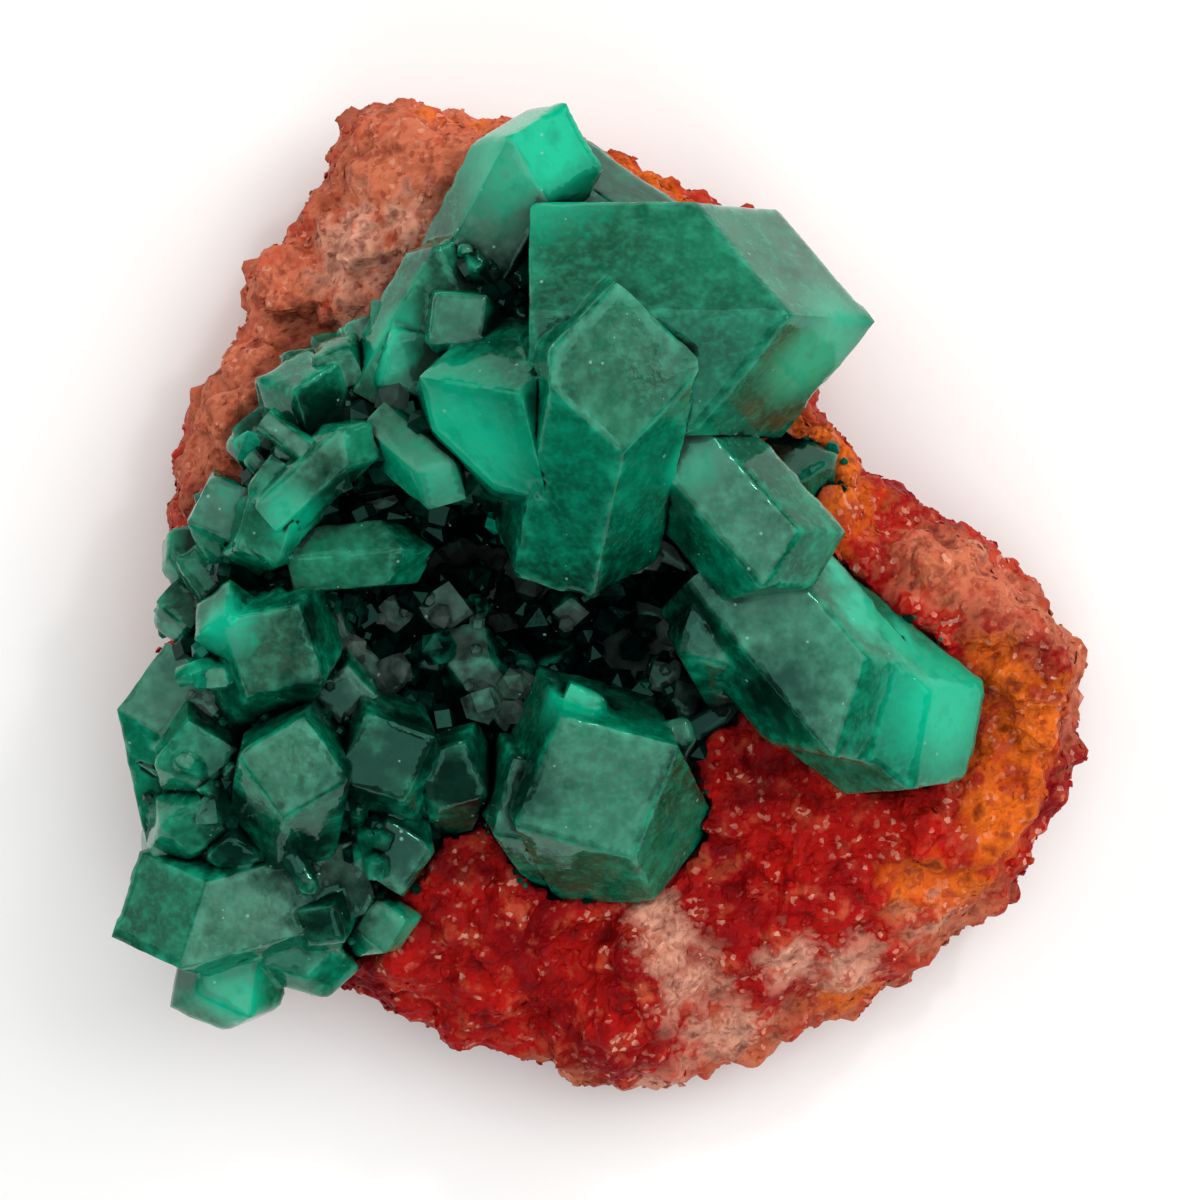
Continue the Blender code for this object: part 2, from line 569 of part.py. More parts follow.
def cavity_crust(name, sprouts, tall, material):
    """The lining of the hollow with its small crystals, kept clear of the rock and the tall ones."""
    space = joined_bowls(f"{name}_space", -GAP)
    hide_guide(space)
    crust = add_object(name, space.data.copy(), bpy.context.scene.collection)
    add_boolean(crust, "DIFFERENCE", bowl_group(f"{name}_inner", -GAP - LINING))
    mesh = apply_modifiers(crust)
    cleave(mesh, [(Vector((0, 0, 1)), 0)], Vector((0, 0, LINING_TOP * MM)))
    write_back(mesh, crust)
    add_boolean(crust, "UNION", crystal_group(f"{name}_sprouts", sprouts))
    add_boolean(crust, "DIFFERENCE", tall)
    clip = crust.modifiers.new("Clip", "BOOLEAN")
    clip.solver = "EXACT"
    clip.operation = "INTERSECT"
    clip.object = space
    crust.data.materials.append(material)
    keep_main_body(crust)
    return crust


def simple_material(name, colour, roughness):
    material = bpy.data.materials.new(name)
    material.use_nodes = True
    shader = material.node_tree.nodes["Principled BSDF"]
    shader.inputs["Base Color"].default_value = (*colour, 1)
    shader.inputs["Roughness"].default_value = roughness
    shader.inputs["Metallic"].default_value = 0.0
    material.diffuse_color = (*colour, 1)
    return material


def centre_on_base(objects):
    """Moves everything so that the middle of the box's underside is the origin."""
    corners = [vert.co for obj in objects for vert in obj.data.vertices]
    low = [min(corner[axis] for corner in corners) for axis in range(3)]
    high = [max(corner[axis] for corner in corners) for axis in range(3)]
    shift = Vector(((low[0] + high[0]) / 2, (low[1] + high[1]) / 2, low[2]))
    for obj in objects:
        obj.data.transform(Matrix.Translation(-shift))


def build():
    for obj in list(bpy.data.objects):
        bpy.data.objects.remove(obj)
    chance = random.Random(SEED)
    green = simple_material("dioptase", (0.0, 0.22, 0.12), 0.18)
    red = simple_material("red_rock", (0.38, 0.06, 0.03), 0.85)
    cluster = {**CLUSTER, **BED}
    for number, druse in enumerate(DRUSES):
        for index, crystal in druse_table(druse, chance).items():
            cluster[f"druse_{number}_{index}"] = crystal
    grown = intergrown("dioptase_cluster", cluster, green)
    add_boolean(grown, "DIFFERENCE", crystal_group("front_space", FRONT, GAP))
    keep_main_body(grown)
    keep_main_body(intergrown("front_dioptase", FRONT, green))
    sockets = crystal_group("sockets", {**cluster, **FRONT}, GAP)
    cavity_crust("cavity_crystals", {**CAVITY, **cavity_sprouts(chance)}, sockets, green)
    rock = rough_rock("matrix", bpy.context.scene.collection)
    rock.data.materials.append(red)
    add_boolean(rock, "DIFFERENCE", bowl_group("hollow", 0))
    add_boolean(rock, "DIFFERENCE", sockets)
    keep_main_body(rock)
    centre_on_base([obj for obj in bpy.context.scene.objects if not obj.hide_render])


build()
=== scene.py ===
# %% [markdown]
# # Dioptase on matrix
#
# A loose mineral specimen: emerald-green dioptase crystals on a lump of iron-red rock. The solid
# model is already built and packed, and this script gives every surface its finish. It is read
# from top to bottom: the frame, the camera and light, the rock, the crystals, and the small
# crystals that only show up close.

# %% Load the packed solids
import math

import bmesh
import bpy
import numpy as np
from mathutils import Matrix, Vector, kdtree, noise
from mathutils.bvhtree import BVHTree


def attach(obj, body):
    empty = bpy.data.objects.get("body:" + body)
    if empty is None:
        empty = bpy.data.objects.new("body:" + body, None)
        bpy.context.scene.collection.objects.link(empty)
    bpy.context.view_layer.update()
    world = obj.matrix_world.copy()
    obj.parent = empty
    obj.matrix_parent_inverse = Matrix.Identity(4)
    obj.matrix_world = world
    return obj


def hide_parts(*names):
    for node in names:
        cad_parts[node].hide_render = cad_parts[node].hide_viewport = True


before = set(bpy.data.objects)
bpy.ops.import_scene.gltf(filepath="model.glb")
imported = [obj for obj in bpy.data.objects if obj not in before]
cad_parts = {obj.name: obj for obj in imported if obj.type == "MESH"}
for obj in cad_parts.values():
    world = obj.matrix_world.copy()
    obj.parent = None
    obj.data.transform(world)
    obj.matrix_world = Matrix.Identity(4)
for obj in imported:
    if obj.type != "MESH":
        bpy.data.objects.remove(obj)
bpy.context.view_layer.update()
print("solids:", sorted(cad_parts))

# %% [markdown]
# Lengths are thought of in millimetres, because that is how a specimen is measured, and Blender
# works in metres. Colours are picked as sRGB hex values, the way a colour picker shows them, and
# shaders want linear light, so one function turns one into the other.

# %% Units, colours and a helper for nodes
MM = 0.001
SCENE = bpy.context.scene


def linear(hex_colour):
    """An sRGB hex colour as the linear RGBA that shaders use."""
    channels = [int(hex_colour[i:i + 2], 16) / 255 for i in (1, 3, 5)]
    return [c / 12.92 if c <= 0.04045 else ((c + 0.055) / 1.055) ** 2.4 for c in channels] + [1.0]


def add_node(tree, kind, inputs=None, **settings):
    """Adds a node, sets its properties, and sets or links its inputs by name or number."""
    node = tree.nodes.new(kind)
    for key, value in settings.items():
        setattr(node, key, value)
    for key, value in (inputs or {}).items():
        if isinstance(value, bpy.types.NodeSocket):
            tree.links.new(value, node.inputs[key])
        else:
            node.inputs[key].default_value = value
    return node


def keep_values(data, name, values):
    """Stores one number for each corner of a mesh."""
    data.attributes.new(name, "FLOAT", "POINT").data.foreach_set("value", values)


def link_object(name, mesh):
    """A new object at the origin that shows a mesh."""
    made = bpy.data.objects.new(name, mesh)
    SCENE.collection.objects.link(made)
    return made


# %% [markdown]
# The specimen lies on its flat base on a pale table and the camera looks straight down on it. A
# long lens keeps the prisms' edges parallel, as a macro lens does from some way off.

# %% Camera
CAMERA_HEIGHT = 318 * MM
AIM_X, AIM_Y = -0.15 * MM, -0.15 * MM  # the middle of the frame
camera_data = bpy.data.cameras.new("camera")
camera_data.lens = 180
camera_data.sensor_width = 36
camera_data.clip_start = 0.01
camera = bpy.data.objects.new("camera", camera_data)
camera.location = (AIM_X, AIM_Y, CAMERA_HEIGHT)
SCENE.collection.objects.link(camera)
SCENE.camera = camera
print("camera", round(CAMERA_HEIGHT / MM), "mm above the table")

# %% [markdown]
# A glassy crystal is lit with large soft panels: one above and one at the near side, whose
# reflections lay a pale sheen on each face that looks their way, and one on either side, which light
# the edges through the stone. A small lamp adds sparks. The gaps between the crystals are dark in
# their shadow and in the shade painted into the finishes below. The table is matt and almost white.

# %% Floor and lights
FLOOR_SIZE = 4.0
WORLD_LIGHT = 0.16  # a little light from all round, so that no shadow is black
PAPER_WHITE = "#FCFCFC"
PAPER_ROUGHNESS = 0.9
WARM_WHITE = "#FFFDF8"


def soft_panel(name, place, size, radiance, colour="#FFFFFF"):
    """A square light that faces the specimen, as bright as a surface of that radiance."""
    data = bpy.data.lights.new(name, "AREA")
    data.shape = "SQUARE"
    data.size = size
    data.energy = radiance * math.pi * size * size
    data.color = linear(colour)[:3]
    panel = bpy.data.objects.new(name, data)
    panel.location = place
    panel.rotation_euler = Vector(place).to_track_quat("Z", "Y").to_euler()
    SCENE.collection.objects.link(panel)
    return panel


floor_mesh = bpy.data.meshes.new("floor")
half = FLOOR_SIZE / 2
floor_mesh.from_pydata(
    [(-half, -half, 0), (half, -half, 0), (half, half, 0), (-half, half, 0)], [], [(0, 1, 2, 3)]
)
floor = link_object("floor", floor_mesh)
# Uncoated paper: white and matt, with no reflection of the specimen.
table_paper = bpy.data.materials.new("white_paper")
table_paper.use_nodes = True
paper = table_paper.node_tree.nodes["Principled BSDF"]
paper.inputs["Base Color"].default_value = linear(PAPER_WHITE)
paper.inputs["Roughness"].default_value = PAPER_ROUGHNESS
floor_mesh.materials.append(table_paper)

world = bpy.data.worlds.new("studio")
world.use_nodes = True
world.node_tree.nodes["Background"].inputs["Color"].default_value = linear("#FFFFFF")
world.node_tree.nodes["Background"].inputs["Strength"].default_value = WORLD_LIGHT
SCENE.world = world
SCENE.view_settings.view_transform = "Standard"

# Each has a place and a size in metres, and the radiance of its surface.
soft_panel("panel_above", (0.04, 0.08, 0.75), 0.74, 1.8)
soft_panel("panel_near", (0.10, -0.42, 0.50), 0.44, 1.6)
soft_panel("spark_lamp", (0.34, 0.47, 0.465), 0.05, 75.0)
soft_panel("panel_left", (-0.5, 0.28, 0.42), 0.56, 1.4, WARM_WHITE)
soft_panel("panel_right", (0.46, 0.30, 0.44), 0.60, 2.1, WARM_WHITE)

# %% [markdown]
# ## The rock
#
# The host rock is a broken lump of iron-stained quartz and calcite: rounded bosses, chips and
# sugary grains, with no smooth skin anywhere but the sawn base. The solid model has its bosses
# and ledges. Here its mesh is made even and fine, and a small Geometry Nodes tree moves the fine
# mesh in and out in three sizes, the way broken rock looks at three distances.

# %% Welded copies of the solids
WELD = 0.001 * MM


def welded(node):
    """The node's solid as an editable mesh whose triangles share their corners."""
    mesh = bmesh.new()
    mesh.from_mesh(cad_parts[node].data)
    bmesh.ops.remove_doubles(mesh, verts=mesh.verts, dist=WELD)
    return mesh


def mesh_from(name, edited):
    """Stores an editable mesh as plain mesh data."""
    data = bpy.data.meshes.new(name)
    edited.to_mesh(data)
    edited.free()
    return data


def baked(made):
    """The object's mesh with its modifiers worked in, as plain data."""
    graph = bpy.context.evaluated_depsgraph_get()
    data = bpy.data.meshes.new_from_object(made.evaluated_get(graph), depsgraph=graph)
    made.modifiers.clear()
    made.data = data
    return data


EVEN_MESH = 0.3 * MM  # fine enough for the grains, coarse enough to stay light
rock = link_object("matrix_rock", mesh_from("matrix_rock", welded("matrix")))
even = rock.modifiers.new("Even mesh", "REMESH")
even.mode = "VOXEL"
even.voxel_size = EVEN_MESH
baked(rock)
print("rock:", len(rock.data.polygons), "even faces")

# %% [markdown]
# Trees of nodes are built in the script. Three helpers keep that short: one starts a tree with its
# named inputs, one adds a step of arithmetic, and one adds a noise whose bumps have a real size.

# %% Helpers for trees of nodes


def new_geometry_tree(name, numbers):
    """A geometry tree with a geometry in and out and the named numbers as its inputs."""
    tree = bpy.data.node_groups.new(name, "GeometryNodeTree")
    tree.interface.new_socket("Geometry", in_out="INPUT", socket_type="NodeSocketGeometry")
    for key, value in numbers.items():
        socket = tree.interface.new_socket(key, in_out="INPUT", socket_type="NodeSocketFloat")
        socket.default_value = value
    tree.interface.new_socket("Geometry", in_out="OUTPUT", socket_type="NodeSocketGeometry")
    return tree, add_node(tree, "NodeGroupInput"), add_node(tree, "NodeGroupOutput")


def maths(tree, operation, *values):
    """One step of arithmetic; returns its result."""
    return add_node(tree, "ShaderNodeMath", dict(enumerate(values)), operation=operation).outputs[0]


def noise_at(tree, size, place, detail=2.0):
    """A noise whose bumps are about this far apart, from 0 to 1."""
    scale = maths(tree, "DIVIDE", 1.0, size)
    made = add_node(tree, "ShaderNodeTexNoise", {"Vector": place, "Scale": scale, "Detail": detail})
    return made.outputs["Fac"]


print("helpers:", [helper.__name__ for helper in (new_geometry_tree, maths, noise_at)])

# %% [markdown]
# The relief tree adds three noises along the normal: ledges a few millimetres apart, rounded
# lumps, and grains the size of sugar. Each has a level at which the surface stays where it is, and
# moves out above it and in below it. The ledges use the distance from the noise's middle, which
# makes sharp valleys where it changes sides. Only what is above the base moves, and nothing may
# sink into the table, so the stone still lies flat.

# %% Relief of the broken rock
NOISE_MIDDLE = 0.5
LEDGE_LEVEL, LUMP_LEVEL, GRAIN_LEVEL = 0.06, 0.47, 0.45
LEDGE_DETAIL, LUMP_DETAIL = 3.0, 4.0
LEDGE_GAIN = 4.0  # folding the noise at its middle leaves a quarter of its height


def relief_tree():
    """Moves a rock's surface in and out by ledges, lumps and grains."""
    sizes = {
        "Ledge size": 3.4 * MM,
        "Ledge rise": 1.1 * MM,
        "Lump size": 1.3 * MM,
        "Lump rise": 0.5 * MM,
        "Grain size": 0.6 * MM,
        "Grain rise": 0.16 * MM,
        "Base clearance": 0.35 * MM,
    }
    tree, given, result = new_geometry_tree("rock_relief", sizes)
    place = add_node(tree, "GeometryNodeInputPosition").outputs[0]
    ledge = noise_at(tree, given.outputs["Ledge size"], place, LEDGE_DETAIL)
    ridge = maths(tree, "ABSOLUTE", maths(tree, "SUBTRACT", ledge, NOISE_MIDDLE))
    ridge = maths(tree, "SUBTRACT", ridge, LEDGE_LEVEL)
    ledges = maths(tree, "MULTIPLY", ridge, given.outputs["Ledge rise"])
    lump_noise = noise_at(tree, given.outputs["Lump size"], place, LUMP_DETAIL)
    lump = maths(tree, "SUBTRACT", lump_noise, LUMP_LEVEL)
    lumps = maths(tree, "MULTIPLY", lump, given.outputs["Lump rise"])
    cells = add_node(tree, "ShaderNodeTexVoronoi", {
        "Vector": place, "Scale": maths(tree, "DIVIDE", 1.0, given.outputs["Grain size"]),
    })
    grain = maths(tree, "SUBTRACT", GRAIN_LEVEL, cells.outputs["Distance"])
    grains = maths(tree, "MULTIPLY", grain, given.outputs["Grain rise"])
    high_ledges = maths(tree, "MULTIPLY", ledges, LEDGE_GAIN)
    rise = maths(tree, "ADD", high_ledges, maths(tree, "ADD", lumps, grains))
    height = add_node(tree, "ShaderNodeSeparateXYZ", {0: place}).outputs["Z"]
    above = add_node(tree, "FunctionNodeCompare", {0: height, 1: given.outputs["Base clearance"]})
    normal = add_node(tree, "GeometryNodeInputNormal").outputs[0]
    offset = add_node(tree, "ShaderNodeVectorMath", {0: normal, "Scale": rise}, operation="SCALE")
    moved = add_node(tree, "GeometryNodeSetPosition", {
        "Geometry": given.outputs["Geometry"],
        "Selection": above.outputs[0],
        "Offset": offset.outputs[0],
    })
    tree.links.new(moved.outputs[0], result.inputs[0])
    return tree


relief = rock.modifiers.new("Relief", "NODES")
relief.node_group = relief_tree()
baked(rock)
for vert in rock.data.vertices:
    vert.co.z = max(vert.co.z, 0.0)
print("rock relief: lowest point", round(min(v.co.z for v in rock.data.vertices) / MM, 3), "mm")

# %% [markdown]
# ## The crystals
#
# Dioptase grows with flat glassy faces, but never quite plane ones: they carry growth steps, the
# edges are nicked, and the end faces are often etched dull. The solid has the true faces. Its
# coplanar triangles are first melted into whole faces, and each face that looks up gets a share of
# painted sheen, a grey that stands in for the reflection of a light above. Then everything is cut
# into a fine net that can carry small marks.

# %% Painted sheen on the faces that look up, and a fine net over each crystal
NET = 0.5 * MM
NET_PASSES = 6  # enough to halve the longest prism edge down to the net's size
COPLANAR = math.radians(1.2)
SHARP = math.radians(24)
PAINTED_SHEEN_LOW, PAINTED_SHEEN_HIGH = 0.78, 0.95  # painted sheen sets in as a face's normal points up this much
LEAST_PAINTED_SHEEN = 0.25  # the least painted sheen of the faces that look up, against 1 for the most
PAINTED_SHEEN_SEEDS = {"dioptase_cluster": 16, "front_dioptase": 14, "cavity_crystals": 15}
# Round these centres, given in millimetres with a reach, no face gets painted sheen.
UNSHEENED_PLACES = [((11.3, -5.1, 19.1), 5.0), ((-4.1, 21.6, 22.0), 3.5), ((-3.6, -9.6, 18.0), 2.0)]


def gets_no_painted_sheen(place):
    """True near a crystal whose faces get no painted sheen."""
    return any((place - Vector(centre) * MM).length < reach * MM for centre, reach in UNSHEENED_PLACES)


def paint_sheen(mesh, seed):
    """Paints a grey sheen on whole faces that look up, more on those that look up most and at
    random: a painted reflection of a light above.
    """
    chance = np.random.default_rng(seed)
    layer = mesh.faces.layers.float.new("painted_sheen")
    for face in mesh.faces:
        up = (face.normal.z - PAINTED_SHEEN_LOW) / (PAINTED_SHEEN_HIGH - PAINTED_SHEEN_LOW)
        amount = min(max(up, 0.0), 1.0) * chance.uniform(LEAST_PAINTED_SHEEN, 1.0)
        face[layer] = 0.0 if gets_no_painted_sheen(face.calc_center_median()) else amount


def cut_to_net(mesh, longest):
    """Halves every edge that is longer than this, a few times over."""
    bmesh.ops.triangulate(mesh, faces=mesh.faces)
    for _ in range(NET_PASSES):
        long_edges = [edge for edge in mesh.edges if edge.calc_length() > longest]
        bmesh.ops.subdivide_edges(mesh, edges=long_edges, cuts=1)
        bmesh.ops.triangulate(mesh, faces=[face for face in mesh.faces if len(face.verts) > 3])


def edge_points(mesh, spacing):
    """Points along every sharp edge, in a tree that finds the nearest one."""
    points = []
    for edge in mesh.edges:
        if edge.is_manifold and edge.calc_face_angle() > SHARP:
            steps = max(1, int(edge.calc_length() / spacing))
            first, last = edge.verts[0].co, edge.verts[1].co
            points += [first.lerp(last, step / steps) for step in range(steps + 1)]
    tree = kdtree.KDTree(len(points))
    for index, point in enumerate(points):
        tree.insert(point, index)
    tree.balance()
    return tree


# each crystal group gets its own draw of painted sheen on the faces that look up
print("end faces are etched on:", sorted(PAINTED_SHEEN_SEEDS))

# %% [markdown]
# Now the wear. Each corner of the net is moved a little: a slow warp, low growth steps, and nicks
# that are only cut near an edge. Worn stretches of edge are smoothed as well. How near a corner is
# to an edge is kept on the mesh, because light comes through the edges of a crystal first, and that
# light is painted into the colour near them.

# %% Growth steps, nicks and worn edges
WARP_SIZE, WARP = 6.0 * MM, 0.07 * MM
STEP_SIZE, STEP_RISE, STEPS = 2.6 * MM, 0.04 * MM, 6
STEP_SHIFT = Vector((9, 4, 2))  # shifts keep one noise from repeating another
NICK_SIZE, NICK_REACH, NICK_DEPTH = 0.8 * MM, 0.3 * MM, 0.15 * MM
NICK_LEVEL = 0.12  # raises the noise, so that more than half of an edge is nicked
CHIP_SIZE, CHIP_LEVEL = 2.2 * MM, 0.08  # how far apart worn stretches of edge are, and how rare
CHIP_SHIFT = Vector((3, 8, 5))
WEAR_PASSES, WEAR = 2, 0.5
RIM = 0.7 * MM  # painted light through the edges reaches this far into a crystal
SWELL = 0.10 * MM  # closes most of the gap round each crystal's root


def weathered(name, node):
    """A crystal group's visual mesh: its faces with growth steps, its edges with nicks."""
    mesh = welded(node)
    bmesh.ops.dissolve_limit(mesh, angle_limit=COPLANAR, verts=mesh.verts, edges=mesh.edges)
    paint_sheen(mesh, PAINTED_SHEEN_SEEDS[node])
    cut_to_net(mesh, NET)
    edges = edge_points(mesh, NICK_REACH / 2)
    mesh.normal_update()
    moves, rims, worn = [], [], []
    for vert in mesh.verts:
        place = vert.co
        warp = noise.noise_vector(place / WARP_SIZE) * WARP
        level = noise.noise(place / STEP_SIZE + STEP_SHIFT)
        step = math.floor(level * STEPS) / STEPS * STEP_RISE
        away = edges.find(place)[2]
        nearness = max(0.0, 1 - away / NICK_REACH)
        nick = max(0.0, noise.noise(place / NICK_SIZE) + NICK_LEVEL) * NICK_DEPTH * nearness
        moves.append(warp + vert.normal * (SWELL + step - nick))
        rims.append(max(0.0, 1 - away / RIM))
        if nearness > 0 and noise.noise(place / CHIP_SIZE + CHIP_SHIFT) > CHIP_LEVEL:
            worn.append(vert)
    for vert, move in zip(mesh.verts, moves):
        vert.co += move
        vert.co.z = max(vert.co.z, 0.0)
    for _ in range(WEAR_PASSES):
        bmesh.ops.smooth_vert(
            mesh, verts=worn, factor=WEAR, use_axis_x=True, use_axis_y=True, use_axis_z=True
        )
    data = mesh_from(name, mesh)
    keep_values(data, "rim", rims)
    data.shade_smooth()
    data.set_sharp_from_angle(angle=SHARP)
    print(name, len(data.polygons), "triangles")
    return link_object(name, data)


crystals = {
    "dioptase_cluster": weathered("dioptase_crystals", "dioptase_cluster"),
    "front_dioptase": weathered("front_crystals", "front_dioptase"),
    "cavity_crystals": weathered("cavity_druse", "cavity_crystals"),
}

# %% [markdown]
# Little light finds its way down between crystals that stand close. How much of the sky each
# corner of a mesh can see is worked out once, by looking along a few directions spread over the
# upper half of the sky and counting the ones that are blocked. The share is kept on the mesh as
# an attribute called gloom, and the finishes below grow darker with it.

# %% How deep each corner lies in the shade
RAYS = 14
REACH = 9 * MM  # nothing further away than this shades a corner
LOWEST_RAY = 0.15  # height of the flattest direction, as a share of its length
LIFT = 0.08 * MM  # rays start this far off the surface
GRAZING = 0.1  # directions flatter to the surface than this don't count
UNLIT = 0.5  # gloom of a corner that faces down, away from all directions


def sky_directions(count):
    """Directions spread evenly over the upper half of the sky."""
    turn = math.pi * (3 - math.sqrt(5))
    made = []
    for index in range(count):
        height = LOWEST_RAY + (1 - LOWEST_RAY) * (index + 0.5) / count
        side = math.sqrt(1 - height * height)
        made.append(Vector((side * math.cos(index * turn), side * math.sin(index * turn), height)))
    return made


def search_tree(pieces):
    """Several pieces as one tree that finds where a ray meets them."""
    joined = bmesh.new()
    for piece in pieces:
        joined.from_mesh(piece.data)
    tree = BVHTree.FromBMesh(joined)
    joined.free()
    return tree


def mark_gloom(data, tree):
    """Keeps the share of blocked directions on a mesh as its attribute gloom."""
    directions = sky_directions(RAYS)
    gloom = []
    for vert in data.vertices:
        start = vert.co + vert.normal * LIFT
        ahead = [d for d in directions if d.dot(vert.normal) > GRAZING]
        blocked = sum(tree.ray_cast(start, d, REACH)[0] is not None for d in ahead)
        gloom.append(blocked / len(ahead) if ahead else UNLIT)
    keep_values(data, "gloom", gloom)
    return sum(gloom) / len(gloom)


everything = search_tree([rock, *crystals.values()])
for piece in (rock, *crystals.values()):
    print(piece.name, "mean gloom", round(mark_gloom(piece.data, everything), 2))

# %% [markdown]
# Small things are scattered by where they belong, so each corner of the rock's mesh is asked two
# questions: is it out in the open, and how near is the nearest crystal? The answers are kept on
# the mesh as attributes too, which a Geometry Nodes tree can read.

# %% Where the rock is open, and where it meets the crystals
COVER = 2.5 * MM  # a crystal this close over the rock hides it
CONTACT = 0.45 * MM  # the small crystals at the foot of the big ones reach this far
OPEN_ABOVE = 0.8 * MM  # nothing grows lower down, so the specimen stays steady on its base
CLEARANCE = 0.02 * MM  # a ray starts this far off the rock, so that it doesn't meet itself


def mark_rock(data, tree):
    """Keeps on the rock where it is open, and how near it is to the big crystals' feet."""
    open_air, contact = [], []
    for vert in data.vertices:
        start = vert.co + vert.normal * CLEARANCE
        hidden = tree.ray_cast(start, vert.normal, COVER)[0] is not None
        near = tree.find_nearest(vert.co, CONTACT)[3]
        seen = 0.0 if hidden or vert.co.z < OPEN_ABOVE else 1.0
        open_air.append(seen)
        contact.append(0.0 if near is None else seen * (1 - near / CONTACT))
    keep_values(data, "open_air", open_air)
    keep_values(data, "contact", contact)
    return sum(open_air) / len(open_air)


big_crystals = search_tree([crystals["dioptase_cluster"], crystals["front_dioptase"]])
print("share of the rock in the open:", round(mark_rock(rock.data, big_crystals), 2))

# %% [markdown]
# One tree plants small crystals. Points are dropped on the host at random, as many as its
# attribute asks for, a little six-sided prism with a point is put on each, leaning at random off
# the surface, and the prisms are made real. The rock's sugary grains are planted by the same tree
# with almost no length.

# %% A tree that plants small crystals
SIDES = 6
POINT_SHARE = 0.7  # height of a crystal's point against its radius
FEW_LARGE = 2.5  # the larger this power is, the fewer of the crystals are large
PER_MM2 = 1e6  # one for each square millimetre


def small_prism(tree, slender):
    """A six-sided prism with a point, one unit in radius, standing on its foot."""
    shaft = add_node(tree, "GeometryNodeMeshCone", {
        "Vertices": SIDES, "Radius Top": 1.0, "Radius Bottom": 1.0, "Depth": slender,
    }, fill_type="NONE")
    point = add_node(tree, "GeometryNodeMeshCone", {
        "Vertices": SIDES, "Radius Top": 0.0, "Radius Bottom": 1.0, "Depth": POINT_SHARE,
    }, fill_type="NONE")
    height = add_node(tree, "ShaderNodeCombineXYZ", {"Z": slender})
    lifted = add_node(tree, "GeometryNodeTransform", {
        "Geometry": point.outputs["Mesh"], "Translation": height.outputs[0],
    })
    joined = add_node(tree, "GeometryNodeJoinGeometry")
    tree.links.new(shaft.outputs["Mesh"], joined.inputs[0])
    tree.links.new(lifted.outputs[0], joined.inputs[0])
    return add_node(tree, "GeometryNodeMergeByDistance", {0: joined.outputs[0]}).outputs[0]


def druse_tree(name, mask):
    """Plants small crystals on a surface where its attribute called mask is above zero."""
    numbers = {
        "Density": PER_MM2,
        "Smallest": 0.1 * MM,
        "Largest": 0.3 * MM,
        "Slender": 1.5,
        "Lean": 0.6,
        "Seed": 1.0,
    }
    tree, given, result = new_geometry_tree(name, numbers)
    share = add_node(tree, "GeometryNodeInputNamedAttribute", {"Name": mask}, data_type="FLOAT")
    density = maths(tree, "MULTIPLY", share.outputs[0], given.outputs["Density"])
    points = add_node(tree, "GeometryNodeDistributePointsOnFaces", {
        "Mesh": given.outputs["Geometry"], "Density": density, "Seed": given.outputs["Seed"],
    }, distribute_method="RANDOM")
    lean = given.outputs["Lean"]
    down = maths(tree, "MULTIPLY", lean, -1.0)
    lows = add_node(tree, "ShaderNodeCombineXYZ", {"X": down, "Y": down, "Z": 0.0}).outputs[0]
    highs = add_node(tree, "ShaderNodeCombineXYZ", {"X": lean, "Y": lean, "Z": math.tau}).outputs[0]
    turn = add_node(tree, "FunctionNodeRandomValue", {
        "Min": lows, "Max": highs, "Seed": given.outputs["Seed"],
    }, data_type="FLOAT_VECTOR").outputs[0]
    turned = add_node(tree, "FunctionNodeRotateRotation", {
        0: points.outputs["Rotation"], 1: turn,
    }, rotation_space="LOCAL").outputs[0]
    chance = add_node(tree, "FunctionNodeRandomValue", {
        2: 0.0, 3: 1.0, "Seed": given.outputs["Seed"],
    }, data_type="FLOAT").outputs[1]
    rare = maths(tree, "POWER", chance, FEW_LARGE)
    size = add_node(tree, "ShaderNodeMapRange", {
        "Value": rare, "To Min": given.outputs["Smallest"], "To Max": given.outputs["Largest"],
    }).outputs["Result"]
    planted = add_node(tree, "GeometryNodeInstanceOnPoints", {
        "Points": points.outputs["Points"],
        "Instance": small_prism(tree, given.outputs["Slender"]),
        "Rotation": turned, "Scale": size,
    })
    real = add_node(tree, "GeometryNodeRealizeInstances", {0: planted.outputs[0]})
    dressed = add_node(tree, "GeometryNodeSetMaterial", {0: real.outputs[0]})
    tree.links.new(dressed.outputs[0], result.inputs[0])
    return tree, dressed


print("one small prism has", 2 * SIDES, "faces")

# %% [markdown]
# The tree is put on a copy of its host as a modifier, its inputs are set by the identifiers of
# their sockets, and the result is turned into a plain mesh. The host itself stays as it is.

# %% Planting on a host


def plant(name, host, mask, material, **numbers):
    """A piece made of the small crystals that one host carries. Sizes are in metres."""
    tree, dressed = druse_tree(name, mask)
    dressed.inputs["Material"].default_value = material
    sockets = {item.name: item.identifier for item in tree.interface.items_tree}
    piece = link_object(name, host.data.copy())
    grow = piece.modifiers.new("Plant", "NODES")
    grow.node_group = tree
    for key, value in numbers.items():
        grow[sockets[key.capitalize()]] = value
    baked(piece)
    print(name, len(piece.data.polygons), "faces")
    return piece


print("planting:", plant.__doc__)
